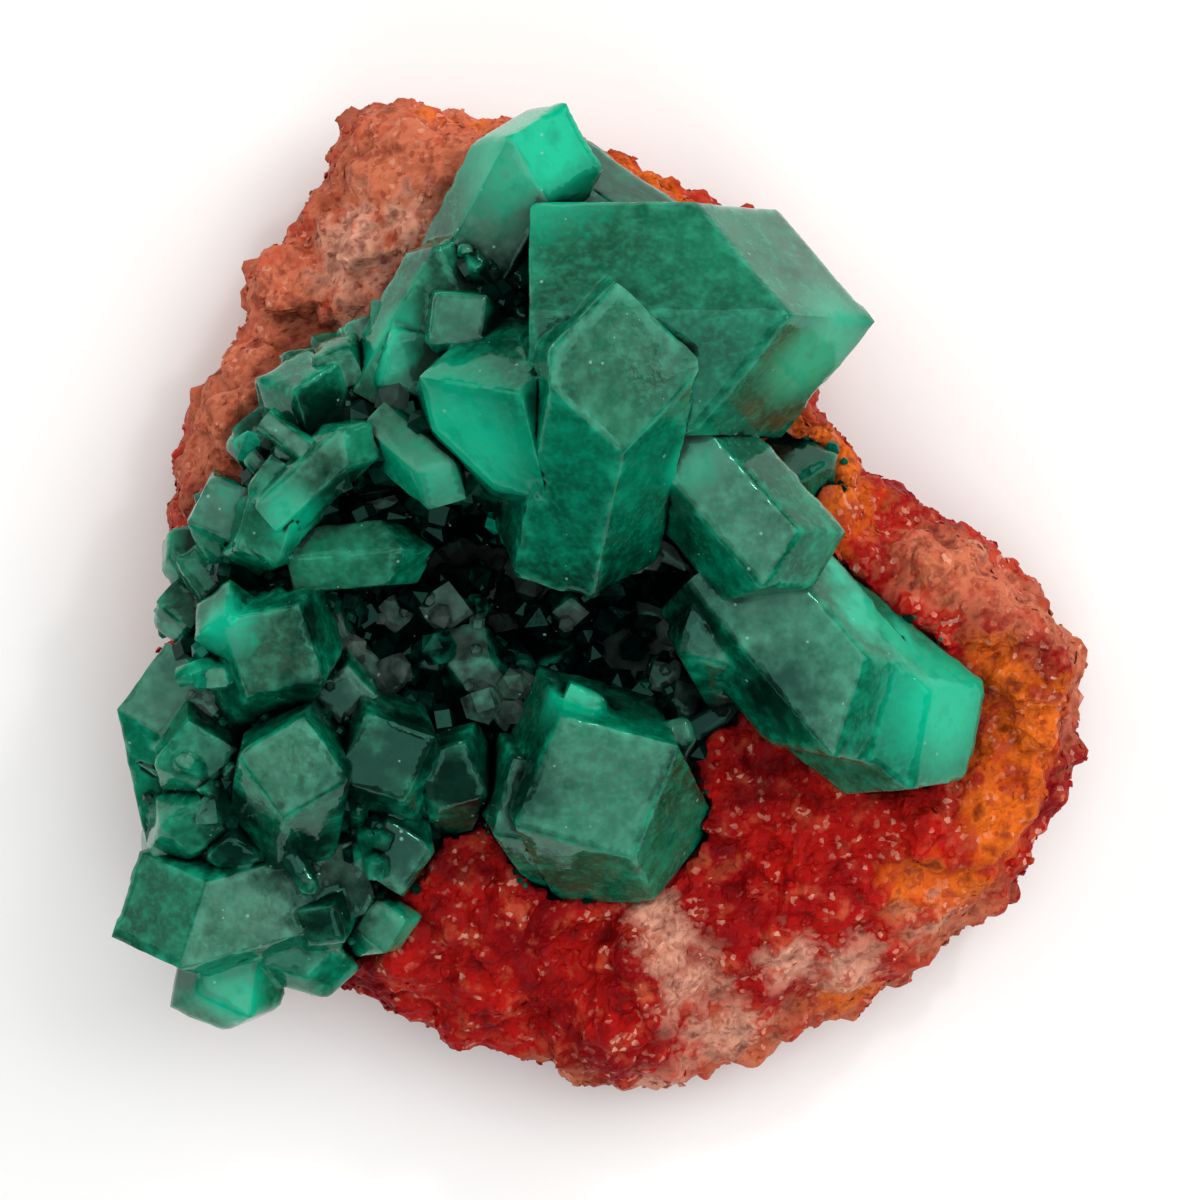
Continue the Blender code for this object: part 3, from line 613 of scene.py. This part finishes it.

# %% [markdown]
# Both stones are patchy. A patch is a ragged blot round a point, given in millimetres with its
# reach. How far each corner of a mesh is from the nearest of them is kept on the mesh, and the
# shader only tears the blots' edges with a noise. A small crystal takes the values over from the
# spot that it grows on, so the rock carries the crystals' patches as well. Of the crystals' patches,
# the bright mint ones are painted light shining through the stone, and the dark ones are painted
# shade.

# %% Where the stones change colour
CRYSTAL_PATCHES = {
    "jade": [((-7.0, 7.7, 22.8), 3.6), ((-3.4, 22.2, 21.5), 4.2), ((17.5, -5.2, 15.9), 3.4),
             ((-10.1, 12.3, 19.8), 2.0), ((-9.9, -16.0, 11.5), 1.6), ((-15.5, 4.1, 20.3), 1.5),
             ((-1.7, -5.2, 17.1), 1.6), ((-19.0, -20.6, 11.9), 1.8), ((4.3, 6.8, 21.2), 1.6),
             ((10.5, 12.0, 21.0), 3.0)],
    # mint: painted light, spots where light shines through the stone
    "mint": [((-18.7, -1.4, 19.2), 1.5), ((12.9, -0.7, 16.5), 1.8), ((11.4, 1.4, 16.2), 1.3),
             ((15.0, -2.2, 15.6), 1.6), ((-13.2, 13.4, 15.9), 1.2), ((-10.5, 16.8, 16.0), 1.2),
             ((-18.6, 5.2, 17.0), 0.9), ((-21.5, -2.2, 13.2), 1.0), ((-16.2, 4.0, 19.5), 0.7)],
    # dark: painted shade over the deep gaps of the bank and round the hollow
    "dark": [((-9.4, -5.3, 10.0), 4.0), ((-9.2, -7.2, 16.7), 3.0), ((-12.2, -9.2, 16.5), 2.8),
             ((-15.3, -12.8, 14.8), 2.6), ((-13.9, -15.9, 13.0), 2.0), ((-14.9, -4.6, 18.3), 1.2),
             ((-14.6, -1.1, 19.0), 1.4), ((-4.1, 15.3, 19.3), 2.4), ((-4.2, -9.6, 17.5), 2.0),
             ((-14.2, 9.4, 19.0), 1.6), ((-13.0, 5.6, 20.0), 1.7), ((-18.5, -10.5, 15.0), 2.0),
             ((0.0, -0.6, 19.0), 3.0), ((6.0, -6.5, 13.0), 3.5), ((4.8, -0.8, 17.5), 2.2),
             ((9.0, -4.5, 17.5), 2.6), ((-12.5, 1.5, 13.0), 3.0), ((-7.3, -9.4, 14.9), 2.2),
             ((-10.3, -12.6, 14.2), 1.8), ((-18.6, -12.5, 14.6), 1.6), ((-14.0, -5.0, 16.0), 1.8)],
}
ROCK_PATCHES = {
    "cream": [((2.4, -16.0, 11.2), 1.3), ((3.2, -17.8, 11.0), 1.6), ((4.6, -20.0, 10.0), 2.0),
              ((6.4, -22.5, 7.5), 2.2), ((2.5, -25.0, 5.0), 2.4), ((9.5, -18.6, 10.0), 1.5),
              ((12.5, -18.8, 8.2), 2.0), ((16.5, -15.5, 8.0), 1.8), ((19.4, -11.9, 9.0), 1.2),
              ((-13.0, 17.8, 12.5), 2.6), ((-9.5, 19.0, 13.0), 1.8), ((-12.0, 13.4, 12.0), 1.5),
              ((20.0, 3.8, 11.0), 1.4)],
    "orange": [((22.3, -7.3, 12.0), 3.4), ((20.6, -11.5, 10.8), 2.6), ((20.0, -3.6, 12.8), 1.6),
               ((11.5, 6.5, 13.0), 3.6), ((16.0, -14.4, 10.0), 1.8), ((18.4, -15.0, 9.5), 2.0),
               ((2.6, 22.5, 10.0), 3.0), ((-7.5, 24.5, 9.0), 2.4), ((12.6, -20.6, 7.0), 1.8)],
    "salmon": [((-10.3, 21.2, 12.0), 7.5), ((-16.5, 14.5, 9.5), 6.0), ((-20.0, 9.5, 11.0), 5.5),
               ((18.1, 2.6, 12.5), 3.4), ((22.0, 0.5, 11.0), 3.6), ((-2.2, -25.4, 6.0), 2.0),
               ((8.0, -24.0, 4.0), 4.0), ((17.0, -16.0, 6.0), 4.0), ((-17.0, 15.0, 3.0), 7.0),
               ((-7.0, 24.0, 3.0), 6.0), ((23.0, -2.0, 4.0), 6.0), ((12.0, -21.0, 2.0), 5.0),
               ((10.0, 14.0, 4.0), 5.0), ((-20.0, 2.0, 4.0), 4.0)],
}


def shares_of(data, places):
    """How far each corner is from the nearest patch (centre, reach), as a share of its reach."""
    corners = np.array([vert.co for vert in data.vertices]) / MM
    shares = [np.linalg.norm(corners - np.array(centre), axis=1) / reach for centre, reach in places]
    return np.min(shares, axis=0)


for piece in (rock, *crystals.values()):
    for key, places in CRYSTAL_PATCHES.items():
        keep_values(piece.data, key, shares_of(piece.data, places))
for key, places in ROCK_PATCHES.items():
    keep_values(rock.data, key, shares_of(rock.data, places))
print("patches:", {key: len(places) for key, places in (CRYSTAL_PATCHES | ROCK_PATCHES).items()})

# %% [markdown]
# Both finishes are built from the same few steps: a mix of two colours, a value stretched over a
# new range, a number read from the mesh, and a patch with a torn edge.

# %% Steps that both finishes use
PATCH_EDGE, PATCH_CORE = 1.3, 0.5  # shares of its reach between which a patch fades in


def new_material(name):
    """A material with its node tree, its shader and its object coordinates."""
    material = bpy.data.materials.new(name)
    material.use_nodes = True
    tree = material.node_tree
    shader = tree.nodes["Principled BSDF"]
    place = add_node(tree, "ShaderNodeTexCoord").outputs["Object"]
    return material, tree, shader, place


def blend(tree, factor, first, second):
    """A mix of two colours, given as hex values or sockets."""
    colours = [linear(c) if isinstance(c, str) else c for c in (first, second)]
    mixed = add_node(tree, "ShaderNodeMix", {0: factor, 6: colours[0], 7: colours[1]},
                     data_type="RGBA")
    return mixed.outputs[2]


def spread_over(tree, value, low, high, to_low=0.0, to_high=1.0):
    """Stretches the part of a value between low and high over a new range, and clips the rest."""
    return add_node(tree, "ShaderNodeMapRange", {
        "Value": value, "From Min": low, "From Max": high, "To Min": to_low, "To Max": to_high,
    }).outputs["Result"]


def attribute(tree, name):
    """A number kept on the mesh."""
    return add_node(tree, "ShaderNodeAttribute", attribute_name=name).outputs["Fac"]


def patches(tree, name, wobble, strength, ragged):
    """A mask, up to strength inside the patches whose shares are kept on the mesh by this name."""
    torn = maths(tree, "MULTIPLY", maths(tree, "SUBTRACT", wobble, NOISE_MIDDLE), ragged)
    share = maths(tree, "ADD", attribute(tree, name), torn)
    return spread_over(tree, share, PATCH_EDGE, PATCH_CORE, 0.0, strength)


print("steps:", [step.__name__ for step in (blend, spread_over, attribute, patches)])

# %% [markdown]
# Dioptase is a copper silicate, deep emerald green and see-through at the edges. The green comes
# from light that is swallowed on its way through. On the way it also meets veils, dust and tiny
# bubbles, which throw some of the light back: that share is the cloudy body colour, mixed here from
# the inside out. Patches called dark are painted shade: the near-black of clear stone with nothing
# lit behind it, painted into the colour.

# %% Colours inside and on a crystal
CLOUD_SIZE = 5.0 * MM  # zones of deeper and lighter green, about one crystal across
VEIL_SIZE = 0.9 * MM
DUST_SIZE = 0.3 * MM  # real inclusions are finer and wouldn't show
PAINTED_GLINT_SIZE = 0.6 * MM  # spacing of the painted glints, bright dots where tiny cracks would catch the light
DEEP_VEIL = "#00382A"
PAINTED_EDGE_LIGHT = "#2CC79C"
# painted light shining through the stone
PAINTED_GLOW_MINT = "#14DDAE"
CREVICE_SHADE = "#00090A"
PAINTED_SHEEN_GREY = "#82998F"  # painted sheen: the grey that a light above would lay on faces looking up
# painted shade: clear stone with nothing lit behind it
PAINTED_SHADE_DEPTH = "#011411"
PAINTED_GLINT = "#A8DCCB"
# Ranges of a noise or a kept number, and the strengths that they are spread over.
CLOUDS = (0.3, 0.7)
BRIGHT_VEILS = (0.5, 0.75, 0.0, 0.25)
DEEP_VEILS = (0.5, 0.25, 0.0, 0.32)
DUST = (0.45, 0.8, 0.0, 0.2)
EDGE_VEILS = (0.4, 0.7, 0.0, 0.6)
CRYSTAL_GLOOM = (0.12, 0.56, 0.0, 0.97)
PAINTED_SHEEN_VEILS = (0.3, 0.65, 0.2, 0.5)
PAINTED_GLINT_RADII = (0.86, 1.0, 0.0, 0.17)
PAINTED_GLINT_STRENGTH = 0.6
# The strength of each kind of patch, and how far its edge is torn.
JADE_PATCH, PAINTED_GLOW_PATCH, PAINTED_SHADE_PATCH = (0.88, 1.2), (0.9, 1.6), (0.9, 1.0)


def body_colour(tree, place, veils, dust, deep, body, bright):
    """The cloudy colour of the stone, with painted light at its edges and in the mint patches, and
    painted shade in its crevices.
    """
    clouds = noise_at(tree, CLOUD_SIZE, place, 2.0)
    colour = blend(tree, spread_over(tree, clouds, *CLOUDS), deep, body)
    colour = blend(tree, patches(tree, "jade", veils, *JADE_PATCH), colour, bright)
    colour = blend(tree, spread_over(tree, veils, *BRIGHT_VEILS), colour, bright)
    colour = blend(tree, spread_over(tree, veils, *DEEP_VEILS), colour, DEEP_VEIL)
    colour = blend(tree, spread_over(tree, dust, *DUST), colour, bright)
    veiled = spread_over(tree, veils, *EDGE_VEILS)
    # painted light: edges brighter green, as if lit through the stone
    thin = maths(tree, "MULTIPLY", attribute(tree, "rim"), veiled)
    colour = blend(tree, thin, colour, PAINTED_EDGE_LIGHT)
    # painted light: mint patches where light shines through
    colour = blend(tree, patches(tree, "mint", veils, *PAINTED_GLOW_PATCH), colour, PAINTED_GLOW_MINT)
    # painted shade: the less of the sky a corner sees, the nearer to black it is painted
    shade = spread_over(tree, attribute(tree, "gloom"), *CRYSTAL_GLOOM)
    return blend(tree, shade, colour, CREVICE_SHADE)


def marked(tree, place, veils, colour):
    """The colour with painted sheen on faces that look up, painted shade in the dark patches, and a
    few painted glints.
    """
    # painted sheen: grey laid on the faces that look up, where a light above would be reflected
    sheen_veils = spread_over(tree, veils, *PAINTED_SHEEN_VEILS)
    painted_sheen_share = maths(tree, "MULTIPLY", attribute(tree, "painted_sheen"), sheen_veils)
    colour = blend(tree, painted_sheen_share, colour, PAINTED_SHEEN_GREY)
    # painted shade in the dark patches
    colour = blend(tree, patches(tree, "dark", veils, *PAINTED_SHADE_PATCH), colour, PAINTED_SHADE_DEPTH)
    # painted glints: a few cells become small bright dots
    glint_cells = add_node(tree, "ShaderNodeTexVoronoi", {"Vector": place, "Scale": 1 / PAINTED_GLINT_SIZE})
    lot = add_node(tree, "ShaderNodeSeparateColor", {0: glint_cells.outputs["Color"]}).outputs[0]
    reach = spread_over(tree, lot, *PAINTED_GLINT_RADII)
    painted_glint = maths(tree, "LESS_THAN", glint_cells.outputs["Distance"], reach)
    return blend(tree, maths(tree, "MULTIPLY", painted_glint, PAINTED_GLINT_STRENGTH), colour, PAINTED_GLINT)


print("clouds", round(CLOUD_SIZE / MM, 1), "mm and veils", round(VEIL_SIZE / MM, 1), "mm apart")

# %% [markdown]
# The finish itself: an absorption inside that swallows all but green and blue, an index of
# refraction of 1.67, and growth faces that are bright in one place and a little dull in the next.
# What shines back from a face has partly been just under it, so the sheen has a green tint. The
# smallest crystals are too thin and too many for absorption, and carry the cloudy colour alone.

# %% Dioptase
IOR = 1.67
SHEEN = 0.14  # most of the shine is already in the see-through share
SHEEN_TINT = "#8CF5D6"
ABSORBED_TO = "#00E2C0"  # what white light turns to inside
ABSORPTION = 900.0  # per metre, so most of the red is gone after two millimetres
DULL_SIZE = 1.6 * MM
BRIGHT_TO_DULL = (0.35, 0.7, 0.03, 0.16)  # range of the noise, and the roughness it gives
PIT_DEPTH, PIT_STRENGTH = 0.04 * MM, 0.12
VEIL_DETAIL = 4.0


def dioptase(name, deep, body, bright, clear):
    """Emerald crystal: deep and body are its cloudy colours, bright its veils, and clear is the
    share of the light that goes into it."""
    material, tree, shader, place = new_material(name)
    veils = noise_at(tree, VEIL_SIZE, place, VEIL_DETAIL)
    dust = noise_at(tree, DUST_SIZE, place, 1.0)
    colour = marked(tree, place, veils, body_colour(tree, place, veils, dust, deep, body, bright))
    tree.links.new(colour, shader.inputs["Base Color"])
    dull = noise_at(tree, DULL_SIZE, place, 1.0)
    tree.links.new(spread_over(tree, dull, *BRIGHT_TO_DULL), shader.inputs["Roughness"])
    pits = {"Height": dust, "Strength": PIT_STRENGTH, "Distance": PIT_DEPTH}
    tree.links.new(add_node(tree, "ShaderNodeBump", pits).outputs[0], shader.inputs["Normal"])
    shader.inputs["IOR"].default_value = IOR
    shader.inputs["Specular IOR Level"].default_value = SHEEN
    shader.inputs["Specular Tint"].default_value = linear(SHEEN_TINT)
    if clear > 0:
        shader.inputs["Transmission Weight"].default_value = clear
        swallow = add_node(tree, "ShaderNodeVolumeAbsorption", {
            "Color": linear(ABSORBED_TO), "Density": ABSORPTION,
        })
        tree.links.new(swallow.outputs[0], tree.nodes["Material Output"].inputs["Volume"])
    return material


# Grown crystal faces: glassy, with light inside the stone as well as on it.
emerald = dioptase("dioptase", "#00462E", "#008A64", "#00E4B0", 0.38)
# The same in crystals under a millimetre: an even green that glints.
small_emerald = dioptase("dioptase_druse", "#004434", "#00886A", "#10D0A4", 0.0)
# Druse in the depth of the hollow: painted nearly black for the shade there, seen by its shine
# alone.
shade_painted_emerald = dioptase("shade_painted_dioptase", "#040207", "#03090B", "#0C2020", 0.0)
print("materials:", [m.name for m in bpy.data.materials])

# %% [markdown]
# The host rock's red is haematite dust between grains of quartz and calcite. It turns orange where
# the iron is hydrated, and thins out to salmon pink and cream where the stone is bare. Against the
# crystals and in crevices it is darkened by painted shade, by how little of the sky each spot sees.
# Every sugary grain gets a tint and a roughness of its own.

# %% Iron-stained rock
ZONE_SIZE = 4.5 * MM
MOTTLE_SIZE = 1.3 * MM
SUGAR_SIZE = 0.28 * MM  # one grain of quartz or calcite
ROUGH_SIZE, ROUGH_DEPTH, ROUGH_STRENGTH = 0.3 * MM, 0.14 * MM, 0.7
DEEP_RED, RED = "#86050B", "#B4140E"
SALMON, ORANGE, CREAM = "#D27A58", "#E6701C", "#E2A68C"
THIN_STAIN, THICK_STAIN = "#DC6E48", "#640A0E"
BARE_GRAIN, RED_GRAIN = "#F0B49A", "#7A0A0E"
ROCK_SHADE = "#2A0206"
# Ranges of a noise or a kept number, and the strengths that they are spread over.
ZONES = (0.38, 0.6)
THIN_STAINING = (0.54, 0.72, 0.0, 0.5)
THICK_STAINING = (0.46, 0.3, 0.0, 0.75)
LIGHTEST_GRAINS, LIGHT_PLACES, BARE_STRENGTH = (0.86, 0.98), (0.44, 0.6), 0.6
REDDEST_GRAINS = (0.3, 0.0, 0.0, 0.5)
ROCK_GLOOM = (0.25, 0.85, 0.0, 0.92)
GRAIN_ROUGHNESS = (0.0, 1.0, 0.35, 0.8)
ROCK_PATCH = (0.85, 3.2)  # strength, and how far the edge is torn
MOTTLE_DETAIL, ZONE_DETAIL, ROUGH_DETAIL = 5.0, 3.0, 3.0
ROCK_SHEEN = 0.07


def stained(tree, place, mottle, tint):
    """The rock's colour: zones, patches, mottling, single grains, and shade in the crevices."""
    broad = noise_at(tree, ZONE_SIZE, place, ZONE_DETAIL)
    colour = blend(tree, spread_over(tree, broad, *ZONES), DEEP_RED, RED)
    colour = blend(tree, patches(tree, "salmon", mottle, *ROCK_PATCH), colour, SALMON)
    colour = blend(tree, patches(tree, "orange", mottle, *ROCK_PATCH), colour, ORANGE)
    colour = blend(tree, patches(tree, "cream", mottle, *ROCK_PATCH), colour, CREAM)
    colour = blend(tree, spread_over(tree, mottle, *THIN_STAINING), colour, THIN_STAIN)
    colour = blend(tree, spread_over(tree, mottle, *THICK_STAINING), colour, THICK_STAIN)
    lightest = spread_over(tree, tint, *LIGHTEST_GRAINS)
    bare = maths(tree, "MULTIPLY", lightest, spread_over(tree, mottle, *LIGHT_PLACES))
    colour = blend(tree, maths(tree, "MULTIPLY", bare, BARE_STRENGTH), colour, BARE_GRAIN)
    colour = blend(tree, spread_over(tree, tint, *REDDEST_GRAINS), colour, RED_GRAIN)
    # painted shade: the less of the sky a spot sees, the darker it is painted
    shade = spread_over(tree, attribute(tree, "gloom"), *ROCK_GLOOM)
    return blend(tree, shade, colour, ROCK_SHADE)


def rock_finish(name):
    """Broken rock: matt, but each grain with a roughness of its own."""
    material, tree, shader, place = new_material(name)
    mottle = noise_at(tree, MOTTLE_SIZE, place, MOTTLE_DETAIL)
    cells = add_node(tree, "ShaderNodeTexVoronoi", {"Vector": place, "Scale": 1 / SUGAR_SIZE})
    tint = add_node(tree, "ShaderNodeSeparateColor", {0: cells.outputs["Color"]}).outputs[0]
    tree.links.new(stained(tree, place, mottle, tint), shader.inputs["Base Color"])
    tree.links.new(spread_over(tree, tint, *GRAIN_ROUGHNESS), shader.inputs["Roughness"])
    fine = noise_at(tree, ROUGH_SIZE, place, ROUGH_DETAIL)
    rough = {"Height": fine, "Strength": ROUGH_STRENGTH, "Distance": ROUGH_DEPTH}
    tree.links.new(add_node(tree, "ShaderNodeBump", rough).outputs[0], shader.inputs["Normal"])
    shader.inputs["Specular IOR Level"].default_value = ROCK_SHEEN
    return material


# Freshly broken, never polished: a dry matt surface with a faint sparkle of single grains.
iron_rock = rock_finish("iron_stained_rock")
print("the rock has", len(iron_rock.node_tree.nodes), "nodes")

# %% [markdown]
# Four plantings. Sugary grains cover the open rock, a thin line of small dioptase follows the foot
# of the big crystals, drusy patches sit between the big crystals of the bank, and a dark druse lines
# the hollow, with the hollow's shade painted into its colour.

# %% Plant the small crystals
DRUSY_PLACES = [((-4.9, 15.2, 19.5), 3.8), ((-14.5, 0.0, 16.0), 11.0), ((-15.5, -11.5, 13.5), 8.0)]
CREVICE = 0.45  # small crystals grow where at least this share of the sky is hidden
cluster = crystals["dioptase_cluster"]
hidden = np.zeros(len(cluster.data.vertices))
cluster.data.attributes["gloom"].data.foreach_get("value", hidden)
drusy = (shares_of(cluster.data, DRUSY_PLACES) < 1) & (hidden > CREVICE)
keep_values(cluster.data, "drusy", drusy.astype(float))
cavity = crystals["cavity_crystals"]
keep_values(cavity.data, "lining", [1.0] * len(cavity.data.vertices))
grains = plant(
    "rock_grains", rock, "open_air", iron_rock,
    density=1.4 * PER_MM2, smallest=0.08 * MM, largest=0.3 * MM, slender=0.1, lean=0.7, seed=3.0,
)
foot_druse = plant(
    "contact_druse", rock, "contact", small_emerald,
    density=6.0 * PER_MM2, smallest=0.12 * MM, largest=0.4 * MM, slender=0.7, lean=1.2, seed=5.0,
)
bank_druse = plant(
    "bank_druse", cluster, "drusy", small_emerald,
    density=0.5 * PER_MM2, smallest=0.22 * MM, largest=0.95 * MM, slender=0.9, lean=1.0, seed=8.0,
)
hollow_druse = plant(
    "hollow_druse", cavity, "lining", shade_painted_emerald,
    density=0.55 * PER_MM2, smallest=0.3 * MM, largest=1.1 * MM, slender=1.1, lean=0.9, seed=13.0,
)
small_pieces = {
    grains: "red_rock",
    foot_druse: "dioptase",
    bank_druse: "dioptase",
    hollow_druse: "dioptase_crust",
}
for piece, slot in small_pieces.items():
    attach(piece, "root")

# %% [markdown]
# Each large piece stands for one solid of the model and takes over its place. All of them ride on
# the specimen's only body.

# %% Dress the pieces
for name, piece in crystals.items():
    piece.data.materials.clear()
    # the crystals of the hollow get the near-black finish: painted shade
    piece.data.materials.append(shade_painted_emerald if name == "cavity_crystals" else emerald)
    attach(piece, "root")
    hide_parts(name)
rock.data.materials.clear()
rock.data.materials.append(iron_rock)
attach(rock, "root")
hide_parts("matrix")
print("pieces:", len(small_pieces) + len(crystals) + 1)

# %% [markdown]
